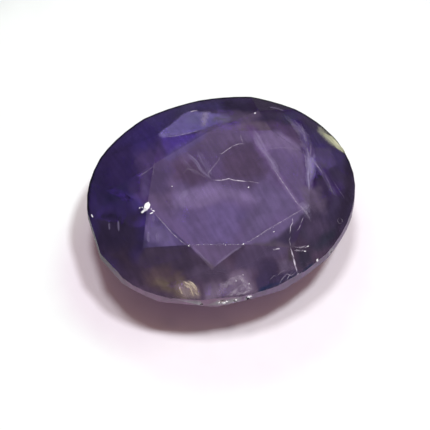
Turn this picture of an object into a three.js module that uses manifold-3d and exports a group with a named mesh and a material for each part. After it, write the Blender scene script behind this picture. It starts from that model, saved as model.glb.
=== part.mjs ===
// A faceted oval iolite, cut by hand: a brilliant crown with an eight-sided table, a plain girdle,
// and a stepped pavilion that ends in a small flat bottom facet.
// The stone is one solid. It stands on the bottom facet with its table up.
// Every flat surface is a cut: the stone is what is left of a rough block after all the cuts.
// Millimetres, +Z up, +X along the stone's length, origin under the middle of its outline.
import * as THREE from "three";
import Module from "manifold-3d";

const DEG = Math.PI / 180;

// The outline seen from above is an oval whose four quarters are not equally full.
const halfLength = 5.0;
const halfWidth = 4.05;
const fullness = { backRight: 2.02, backLeft: 2.13, frontLeft: 2.3, frontRight: 1.98 };
const outlineSides = 60;

// Directions between which the girdle was cut straight, each as a pair in degrees.
const outlineFlats = [
  { from: 176, to: 196 },
  { from: 196, to: 211 },
  { from: 233, to: 250 },
  { from: 250, to: 270 },
  { from: 290, to: 305 },
  { from: 305, to: 318 },
  { from: 16, to: 27 },
];

// Heights of the layers above the surface that the stone stands on.
const pavilionDepth = 3.25;
const girdleThickness = 0.5;
const crownHeight = 1.0;

// The eight main facets of the crown. Each one starts at a table corner, which has a direction and a
// reach from the middle of the table, and slopes down to the girdle in the direction that it faces.
// The star facet after it ends at a tip, at this share of the crown's height. Two facets run from that
// tip to the girdle, and rimLift says how much higher they meet it at their near, middle and far ends.
const tableMiddle = { x: 0.28, y: -0.06 };
const mains = [
  { corner: 9, reach: 3.17, faces: 7, starTip: 0.62, rimLift: [0, 0, 0] },
  { corner: 44, reach: 2.75, faces: 45, starTip: 0.68, rimLift: [0.16, 0.12, 0.03] },
  { corner: 98, reach: 2.33, faces: 92, starTip: 0.75, rimLift: [0, 0, 0] },
  { corner: 151.5, reach: 2.92, faces: 138, starTip: 0.62, rimLift: [0, 0, 0] },
  { corner: 185, reach: 3.15, faces: 187, starTip: 0.72, rimLift: [0, 0, 0] },
  { corner: 227, reach: 2.81, faces: 241, starTip: 0.7, rimLift: [0, 0, 0] },
  { corner: 272, reach: 2.42, faces: 277, starTip: 0.65, rimLift: [0, 0, 0] },
  { corner: 333.5, reach: 3.07, faces: 310, starTip: 0.62, rimLift: [0.15, 0.2, 0.2] },
];
const girdleCut = 0.04; // how far below the main facets the sixteen facets along the girdle run

// The pavilion is cut in rows of facets. Each row slopes this much, in degrees from level, and starts
// this far below the girdle at the widest point of the stone.
const pavilionRows = [
  { count: 16, turn: 5, slope: 60, start: 0.0 },
  { count: 16, turn: 5, slope: 48, start: 1.05 },
  { count: 12, turn: 12, slope: 38, start: 2.2 },
];
const bottomShift = { x: 0.3, y: 0.15 }; // how far the bottom facet lies off the middle

// Small nicks along the girdle's lower edge, each with its direction, size and stretch.
const nicks = [
  { angle: 249, size: 0.07, stretch: 1.6 },
  { angle: 259, size: 0.13, stretch: 1.5 },
  { angle: 266, size: 0.08, stretch: 1.8 },
  { angle: 273, size: 0.12, stretch: 1.9 },
  { angle: 322.3, size: 0.07, stretch: 1.6 },
];

const girdleLow = pavilionDepth;
const girdleTop = girdleLow + girdleThickness;
const tableHeight = girdleTop + crownHeight;

function level(angle) {
  return new THREE.Vector3(Math.cos(angle * DEG), Math.sin(angle * DEG), 0);
}

function directionOf(point) {
  return (Math.atan2(point.y, point.x) / DEG + 360) % 360;
}

// The point of the outline in a direction, at a height.
function outlinePoint(angle, height) {
  const { x, y } = level(angle);
  const backPower = x > 0 ? fullness.backRight : fullness.backLeft;
  const frontPower = x > 0 ? fullness.frontRight : fullness.frontLeft;
  const power = y > 0 ? backPower : frontPower;
  const along = Math.abs(x / halfLength) ** power;
  const across = Math.abs(y / halfWidth) ** power;
  const reach = (along + across) ** (-1 / power);
  return new THREE.Vector3(reach * x, reach * y, height);
}

const outline = Array.from({ length: 360 }, (_, angle) => outlinePoint(angle, 0));

// The point of the outline that lies furthest out in a direction.
function furthest(angle) {
  const direction = level(angle);
  return outline.reduce((best, point) => (point.dot(direction) > best.dot(direction) ? point : best));
}

function outlineReach(angle) {
  return furthest(angle).dot(level(angle));
}

// A cut is a plane that faces out of the stone.
function cutThrough(a, b, c) {
  const heart = new THREE.Vector3(0, 0, girdleLow);
  const cut = new THREE.Plane().setFromCoplanarPoints(a, b, c);
  return cut.distanceToPoint(heart) > 0 ? cut.negate() : cut;
}

function slopingCut(angle, slope, point, up) {
  const normal = level(angle).multiplyScalar(Math.sin(slope));
  normal.z = up * Math.cos(slope);
  return new THREE.Plane().setFromNormalAndCoplanarPoint(normal, point);
}

function levelCut(height, up) {
  return new THREE.Plane(new THREE.Vector3(0, 0, up), -height * up);
}

// The point where three cuts meet.
function meetingPoint(p, q, r) {
  const qr = new THREE.Vector3().crossVectors(q.normal, r.normal);
  const rp = new THREE.Vector3().crossVectors(r.normal, p.normal);
  const pq = new THREE.Vector3().crossVectors(p.normal, q.normal);
  const share = -1 / p.normal.dot(qr);
  return new THREE.Vector3()
    .addScaledVector(qr, p.constant * share)
    .addScaledVector(rp, q.constant * share)
    .addScaledVector(pq, r.constant * share);
}

function girdleCuts() {
  const step = 360 / outlineSides;
  const sides = Array.from({ length: outlineSides }, (_, k) => ({ from: k * step, to: (k + 1) * step }));
  return [...sides, ...outlineFlats].map(({ from, to }) =>
    cutThrough(outlinePoint(from, girdleLow), outlinePoint(to, girdleLow), outlinePoint(to, girdleTop)),
  );
}

function crownCuts() {
  const crown = mains.map(({ corner, reach, faces, starTip, rimLift }) => {
    const tableCorner = level(corner).multiplyScalar(reach);
    tableCorner.add(new THREE.Vector3(tableMiddle.x, tableMiddle.y, tableHeight));
    const run = outlineReach(faces) - tableCorner.dot(level(faces));
    const slope = Math.atan2(crownHeight, run);
    const foot = directionOf(furthest(faces));
    return { tableCorner, main: slopingCut(faces, slope, tableCorner, 1), foot, starTip, rimLift };
  });
  const cuts = crown.flatMap(({ tableCorner, main, foot, starTip, rimLift }, i) => {
    const next = crown[(i + 1) % crown.length];
    const tip = meetingPoint(main, next.main, levelCut(girdleTop + crownHeight * starTip, 1));
    const turn = (next.foot - foot + 360) % 360;
    const left = outlinePoint(foot, girdleTop - girdleCut + rimLift[0]);
    const middle = outlinePoint(foot + turn / 2, girdleTop + rimLift[1]);
    const right = outlinePoint(next.foot, girdleTop - girdleCut + rimLift[2]);
    const star = cutThrough(tableCorner, next.tableCorner, tip);
    return [main, star, cutThrough(tip, left, middle), cutThrough(tip, middle, right)];
  });
  return [...cuts, levelCut(tableHeight, 1)];
}

function pavilionCuts() {
  const rows = pavilionRows.flatMap(({ count, turn, slope, start }, row) => {
    const inset = pavilionRows.slice(0, row).reduce((sum, upper, k) => {
      const depth = pavilionRows[k + 1].start - upper.start;
      return sum + depth / Math.tan(upper.slope * DEG);
    }, 0);
    return Array.from({ length: count }, (_, k) => {
      const angle = turn + (k * 360) / count;
      const direction = level(angle);
      const widening = outlineReach(angle) / halfWidth;
      const shift = (inset / halfWidth) * (direction.x * bottomShift.x + direction.y * bottomShift.y);
      const point = direction.clone().multiplyScalar(outlineReach(angle) - inset * widening + shift);
      point.z = girdleLow - start;
      return slopingCut(angle, Math.atan2(Math.tan(slope * DEG), widening), point, -1);
    });
  });
  return [...rows, levelCut(0, -1)];
}

const near = 1e-6;

// Takes away whatever lies outside a cut, and closes the stone there with a new flat face.
function afterCut(faces, cut) {
  const rim = [];
  const trimmed = faces.map((face) => {
    const heights = face.map((corner) => cut.distanceToPoint(corner));
    return face.flatMap((corner, k) => {
      const here = heights[k];
      const next = (k + 1) % face.length;
      const kept = here < near ? [corner] : [];
      if (Math.abs(here) < near) {
        rim.push(corner);
      } else if (here * heights[next] < 0 && Math.abs(heights[next]) > near) {
        const crossing = corner.clone().lerp(face[next], here / (here - heights[next]));
        rim.push(crossing);
        kept.push(crossing);
      }
      return kept;
    });
  });
  const open = faces.some((face) => face.some((corner) => cut.distanceToPoint(corner) > near));
  return open ? [...trimmed.filter((face) => face.length > 2), rimFace(rim, cut.normal)] : faces;
}

// Puts the points around a cut in order, so that they make one flat face.
function rimFace(points, normal) {
  const isFirst = (point, k) => points.findIndex((other) => other.distanceTo(point) < near) === k;
  const corners = points.filter(isFirst);
  const middle = new THREE.Vector3();
  corners.forEach((corner) => middle.addScaledVector(corner, 1 / corners.length));
  const side = corners[0].clone().sub(middle).normalize();
  const other = new THREE.Vector3().crossVectors(normal, side);
  const turnOf = (corner) => {
    const arm = corner.clone().sub(middle);
    return Math.atan2(arm.dot(other), arm.dot(side));
  };
  return corners.sort((a, b) => turnOf(a) - turnOf(b));
}

// The rough block before any cut, as six square faces.
function roughBlock() {
  const half = 8;
  const axes = [new THREE.Vector3(1, 0, 0), new THREE.Vector3(0, 1, 0), new THREE.Vector3(0, 0, 1)];
  const ways = axes.flatMap((axis) => [axis, axis.clone().negate()]);
  return ways.map((way) => {
    const across = new THREE.Vector3(way.y, way.z, way.x);
    const along = new THREE.Vector3().crossVectors(way, across);
    const turns = [[1, 1], [-1, 1], [-1, -1], [1, -1]];
    return turns.map(([u, v]) =>
      way.clone().addScaledVector(across, u).addScaledVector(along, v).multiplyScalar(half),
    );
  });
}

const wasm = await Module();
wasm.setup();

// Joins corners that lie within a thousandth of a millimetre and makes a solid of flat faces.
function solidOf(faces) {
  const corners = [];
  const indexOf = (point) => {
    const known = corners.findIndex((corner) => corner.distanceTo(point) < 0.001);
    return known < 0 ? corners.push(point) - 1 : known;
  };
  const triVerts = faces.flatMap((face) => {
    const around = face.map(indexOf).filter((index, k, all) => index !== all[(k + 1) % all.length]);
    return around.slice(2).flatMap((index, k) => [around[0], around[k + 1], index]);
  });
  const vertProperties = new Float32Array(corners.flatMap(({ x, y, z }) => [x, y, z]));
  return new wasm.Manifold(new wasm.Mesh({ numProp: 3, vertProperties, triVerts: new Uint32Array(triVerts) }));
}

// A nick is the hollow that a small rough lump leaves in the edge under the girdle.
function nickSolid({ angle, size, stretch }) {
  const lump = new THREE.IcosahedronGeometry(size, 0);
  lump.scale(1, stretch, 1);
  lump.rotateX(angle * DEG);
  lump.rotateZ(angle * DEG);
  const { x, y, z } = outlinePoint(angle, girdleLow + size);
  lump.translate(x, y, z);
  const position = lump.getAttribute("position");
  const faces = Array.from({ length: position.count / 3 }, (_, k) =>
    [0, 1, 2].map((corner) => new THREE.Vector3().fromBufferAttribute(position, 3 * k + corner)),
  );
  return solidOf(faces);
}

function stoneGeometry() {
  const cuts = [...girdleCuts(), ...crownCuts(), ...pavilionCuts()];
  let stone = solidOf(cuts.reduce(afterCut, roughBlock()));
  for (const nick of nicks) {
    stone = stone.subtract(nickSolid(nick));
  }
  const { vertProperties, triVerts } = stone.getMesh();
  const geometry = new THREE.BufferGeometry();
  geometry.setAttribute("position", new THREE.BufferAttribute(vertProperties, 3));
  geometry.setIndex(new THREE.BufferAttribute(triVerts, 1));
  geometry.computeBoundingBox();
  const middle = geometry.boundingBox.getCenter(new THREE.Vector3());
  return geometry.translate(-middle.x, -middle.y, 0);
}

const violetCrystal = new THREE.MeshStandardMaterial({
  color: 0x54406f,
  roughness: 0.08,
  metalness: 0,
  flatShading: true,
});

const gemstone = new THREE.Mesh(stoneGeometry(), violetCrystal);
gemstone.name = "gemstone";

const iolite = new THREE.Group();
iolite.add(gemstone);

export default iolite;
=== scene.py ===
import math

import bpy
import bmesh
import numpy as np
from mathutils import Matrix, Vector, noise
from mathutils.bvhtree import BVHTree
from mathutils.kdtree import KDTree


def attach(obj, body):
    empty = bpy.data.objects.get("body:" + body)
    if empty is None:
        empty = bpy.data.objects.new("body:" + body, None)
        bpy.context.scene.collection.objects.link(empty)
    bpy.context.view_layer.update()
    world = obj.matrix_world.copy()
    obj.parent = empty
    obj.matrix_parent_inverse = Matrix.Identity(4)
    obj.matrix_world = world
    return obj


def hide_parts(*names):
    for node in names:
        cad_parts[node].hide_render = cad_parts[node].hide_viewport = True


noise.seed_set(5)  # the same waves and ragged edges each run
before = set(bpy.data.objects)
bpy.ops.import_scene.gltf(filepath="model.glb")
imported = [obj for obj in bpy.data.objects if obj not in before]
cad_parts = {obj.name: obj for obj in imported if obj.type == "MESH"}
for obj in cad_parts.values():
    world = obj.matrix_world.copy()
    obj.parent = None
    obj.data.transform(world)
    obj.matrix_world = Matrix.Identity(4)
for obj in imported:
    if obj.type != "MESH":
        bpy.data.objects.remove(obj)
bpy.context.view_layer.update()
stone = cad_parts["gemstone"]
mm = 0.001
print("frame loaded")


# camera: far away, at the photo's viewing angle, looking down on the table
view = {
    "turn": -11.0,        # degrees around the stone, from its front
    "rise": 66.0,         # degrees above the ground
    "distance": 150.0,    # mm
    "aim": (0.0, 0.0, 3.6),
    "frameWidth": 15.96,  # mm seen across the picture
    "slide": (-0.245, -0.62),  # mm that the middle of the picture lies off the aim, across and up
}


def makeCamera(s):
    turn, rise = math.radians(s["turn"]), math.radians(s["rise"])
    back = Vector((math.sin(turn) * math.cos(rise), -math.cos(turn) * math.cos(rise), math.sin(rise)))
    right = Vector((0, 0, 1)).cross(back).normalized()
    up = back.cross(right)
    data = bpy.data.cameras.new("stoneCamera")
    data.sensor_width = 36
    data.lens = data.sensor_width * s["distance"] / s["frameWidth"]
    data.clip_start = 0.005
    data.clip_end = 10
    camera = bpy.data.objects.new("stoneCamera", data)
    aim = Vector(s["aim"]) + right * s["slide"][0] + up * s["slide"][1]
    camera.location = (aim + back * s["distance"]) * mm
    camera.rotation_euler = back.to_track_quat("Z", "Y").to_euler()
    bpy.context.scene.collection.objects.link(camera)
    bpy.context.scene.camera = camera


makeCamera(view)


# lights: two lamps overhead throw the two overlapping shadows, and a broad box above them fills in;
# glass rays don't see them, so that no lamp shows as a hard patch inside the stone
lamps = {
    "lampRight": {
        "from": (0.178, -0.1, 1.0), "far": 400, "size": 38, "power": 0.93, "tint": (1.0, 0.99, 1.0),
    },
    "lampLeft": {
        "from": (-0.03, 0.006, 1.0), "far": 400, "size": 48, "power": 0.73, "tint": (1.0, 0.98, 0.98),
    },
    "broadBox": {
        "from": (-0.04, 0.18, 1.0), "far": 300, "size": 300, "power": 0.04, "tint": (0.97, 0.94, 1.0),
    },
}
sky = {"tint": (0.93, 0.92, 1.0), "strength": 0.03}


def makeLamp(name, s):
    data = bpy.data.lights.new(name, "AREA")
    data.shape = "DISK"
    data.size = s["size"] * mm
    data.energy = s["power"]
    data.color = s["tint"]
    lamp = bpy.data.objects.new(name, data)
    way = Vector(s["from"]).normalized()
    lamp.location = way * s["far"] * mm
    lamp.rotation_euler = way.to_track_quat("Z", "Y").to_euler()
    lamp.visible_transmission = False
    bpy.context.scene.collection.objects.link(lamp)


for name, s in lamps.items():
    makeLamp(name, s)
world = bpy.data.worlds.new("studio")
bpy.context.scene.world = world
world.use_nodes = True
background = world.node_tree.nodes["Background"]
background.inputs["Color"].default_value = (*sky["tint"], 1)
background.inputs["Strength"].default_value = sky["strength"]

scene = bpy.context.scene
scene.view_settings.view_transform = "Standard"
scene.cycles.caustics_refractive = False
scene.cycles.caustics_reflective = False
scene.cycles.max_bounces = 24
scene.cycles.transmission_bounces = 20
scene.cycles.transparent_max_bounces = 24
scene.cycles.blur_glossy = 0.2
print("camera and lights ready")


# small helpers for materials
def newMaterial(name):
    material = bpy.data.materials.new(name)
    material.use_nodes = True
    return material, material.node_tree, material.node_tree.nodes["Principled BSDF"]


def feed(tree, socket, value):
    if isinstance(value, bpy.types.NodeSocket):
        tree.links.new(value, socket)
    else:
        socket.default_value = value


def addNode(tree, kind, inputs, **settings):
    node = tree.nodes.new(kind)
    for name, value in settings.items():
        setattr(node, name, value)
    for name, value in inputs.items():
        feed(tree, node.inputs[name], value)
    return node


def mixColours(tree, share, a, b):
    node = addNode(tree, "ShaderNodeMix", {0: share}, data_type="RGBA")
    feed(tree, node.inputs[6], a if isinstance(a, bpy.types.NodeSocket) else (*a, 1))
    feed(tree, node.inputs[7], b if isinstance(b, bpy.types.NodeSocket) else (*b, 1))
    return node.outputs[2]


def calc(tree, kind, a, b):
    return addNode(tree, "ShaderNodeMath", {0: a, 1: b}, operation=kind).outputs[0]


def scaled(tree, vector, by):
    return addNode(tree, "ShaderNodeVectorMath", {0: vector, "Scale": by}, operation="SCALE").outputs[0]


# a number from two vectors, such as the distance between them
def measure(tree, kind, a, b):
    return addNode(tree, "ShaderNodeVectorMath", {0: a, 1: b}, operation=kind).outputs["Value"]


def remap(tree, value, low, high, toLow=0.0, toHigh=1.0):
    values = {"Value": value, "From Min": low, "From Max": high, "To Min": toLow, "To Max": toHigh}
    return addNode(tree, "ShaderNodeMapRange", values, interpolation_type="SMOOTHSTEP").outputs["Result"]


def placeInMm(tree):
    return scaled(tree, addNode(tree, "ShaderNodeTexCoord", {}).outputs["Object"], 1000.0)


def attribute(tree, name, output="Fac"):
    return addNode(tree, "ShaderNodeAttribute", {}, attribute_name=name).outputs[output]


# fine streaks that run along one way and break up across it, for the crystal and for what lies in it
def makeStreakGroup():
    group = bpy.data.node_groups.new("growthStreaks", "ShaderNodeTree")
    for name, start in (("Across", 0.0), ("Along", 0.0), ("Fine", 6.0), ("Long", 0.7)):
        socket = group.interface.new_socket(name, in_out="INPUT", socket_type="NodeSocketFloat")
        socket.default_value = start
    group.interface.new_socket("Share", in_out="OUTPUT", socket_type="NodeSocketFloat")
    given = group.nodes.new("NodeGroupInput").outputs
    across = calc(group, "MULTIPLY", given["Across"], given["Fine"])
    along = calc(group, "MULTIPLY", given["Along"], given["Long"])
    place = addNode(group, "ShaderNodeCombineXYZ", {"X": across, "Y": along}).outputs[0]
    wave = addNode(group, "ShaderNodeTexNoise", {"Vector": place, "Scale": 1.0, "Detail": 4.0}).outputs["Fac"]
    feed(group, group.nodes.new("NodeGroupOutput").inputs["Share"], remap(group, wave, 0.32, 0.68))
    return group


streakGroup = makeStreakGroup()


def streaks(tree, across, along, fine, long):
    inputs = {"Across": across, "Along": along, "Fine": fine, "Long": long}
    node = tree.nodes.new("ShaderNodeGroup")
    node.node_tree = streakGroup
    for name, value in inputs.items():
        feed(tree, node.inputs[name], value)
    return node.outputs["Share"]


# floor: plain white paper with painted shade: its colour darkens far from the stone, as if the light fell off
# there
paper = {
    "half": 90.0, "cuts": 24, "roughness": 0.9, "specular": 0.1,
    "tint": (0.93, 0.965, 0.94), "grain": 0.02, "grainScale": 0.9,
    "farShadeTint": (0.08, 0.08, 0.08), "middle": (0.0, -3.5, 0.0), "lit": (14.5, 23.0),
    # painted light and shade on the paper close round the stone: a little of the stone's own colour all round
    # it, and a darker patch at its left
    "paintedGlowAndShade": (
        {"tint": (0.93, 0.87, 0.91), "middle": (0.0, -0.6, 0.0), "reach": (6.6, 5.0)},
        {"tint": (0.82, 0.745, 0.80), "middle": (-3.6, -0.9, 0.0), "reach": (3.9, 1.8)},
    ),
}


def makeFloor(s):
    mesh = bmesh.new()
    bmesh.ops.create_grid(mesh, x_segments=s["cuts"], y_segments=s["cuts"], size=s["half"] * mm)
    data = bpy.data.meshes.new("paperFloor")
    mesh.to_mesh(data)
    mesh.free()
    floor = bpy.data.objects.new("paperFloor", data)
    bpy.context.scene.collection.objects.link(floor)
    material, tree, shader = newMaterial("whitePaper")
    inMm = placeInMm(tree)
    speckle = addNode(tree, "ShaderNodeTexNoise", {"Vector": inMm, "Scale": s["grainScale"]}).outputs["Fac"]
    grain = remap(tree, speckle, 0.0, 1.0, 1 - s["grain"], 1 + s["grain"])
    away = measure(tree, "DISTANCE", inMm, s["middle"])
    # painted shade: the paper's colour darkens away from the stone
    tint = mixColours(tree, remap(tree, away, *s["lit"]), s["tint"], s["farShadeTint"])
    # the painted tint and painted shade round the stone
    for glow in s["paintedGlowAndShade"]:
        near = measure(tree, "DISTANCE", inMm, glow["middle"])
        tint = mixColours(tree, remap(tree, near, *glow["reach"]), tint, glow["tint"])
    feed(tree, shader.inputs["Base Color"], scaled(tree, tint, grain))
    shader.inputs["Roughness"].default_value = s["roughness"]
    shader.inputs["Specular IOR Level"].default_value = s["specular"]
    data.materials.append(material)


makeFloor(paper)
print("floor ready")


# crystal: the stone's flat facets, with their edges worn a little round
crystal = {
    "weld": 0.0008,      # mm: corners closer than this are one
    "flatWithin": 0.6,   # degrees: triangles closer than this are one facet
    "edgeFrom": 7.0,     # degrees: sharper edges than this are worn
    "edgeWear": 0.016,   # mm
    "cell": 0.07,        # mm: the crown is cut this fine, to hold what is painted on it by place
    "ior": 1.54,
    "deep": (0.42, 0.34, 0.66),      # light left by the crystal itself, at the density below
    "density": 520.0,
    "seeThrough": 0.66,              # the rest is milk in the skin
    "roughness": 0.15,
    "groundRough": 0.5,              # of the unpolished girdle
    "gloss": 1.0,                    # polished skin over the hazy inside
    "glossRough": 0.03,
    "glossIor": 1.36,
    "lampTint": (0.46, 0.37, 0.32),  # lamp light that each crossing of the skin lets by
    "streakWay": (0.30, -0.95),      # the way the growth streaks run, seen from above
    "streakFine": 7.0,
    "streakLong": 0.8,
    "streakDepth": 0.08,
    "cloudScale": 1.6,
    "cloudRange": (0.3, 0.7),
    "cloudDepth": 0.15,
}
# colour in the skin before the zones are painted over it
skinTints = {
    "left": (0.09, 0.058, 0.22), "right": (0.13, 0.094, 0.204), "front": (0.235, 0.149, 0.254),
    "flat": (0.3, 0.194, 0.471), "girdle": (0.64, 0.236, 0.549), "girdleLeftShade": (0.04, 0.02, 0.035),
    "girdleRight": (0.46, 0.20, 0.56), "under": (0.44, 0.35, 0.60),
    # painted shade: a dark line along the crown's back rim
    "rimShade": (0.01, 0.01, 0.02),
}
# where the skin's tints pass into each other, in mm
blends = {
    "acrossX": (-4.0, 2.0),       # crown, left to right
    "frontY": (-1.6, -3.2),       # crown, towards the front
    # where the girdle's painted shade at its far left end begins
    "girdleLeftX": (-3.9, -4.6),
    "girdleRightX": (-0.8, 0.6),
    # rimGap and rimBackY place the painted rim shade
    "rimGap": (0.13, 0.07),       # the dark line fades in this close to the girdle,
    "rimBackY": (-0.3, 0.6),      # and from here to the back
}
# pale bruised crystal round the small breaks in the girdle, as places and reach in mm
bruises = {
    "tint": (0.95, 0.85, 0.95), "reach": 0.2, "core": 0.12,
    "at": (
        (-1.6, -3.83, 3.32), (-0.8, -3.96, 3.35), (-0.29, -3.99, 3.32), (0.2, -3.97, 3.37),
        (3.57, -2.75, 3.31),
    ),
}
# the waves in mm that make the zones' edges run unevenly, the share of the fine one, and how far they
# shift an edge: a share of its softness and a little more
waves = {"slow": 0.6, "fine": 0.2, "share": 0.5, "shift": (0.35, 0.03)}
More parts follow.
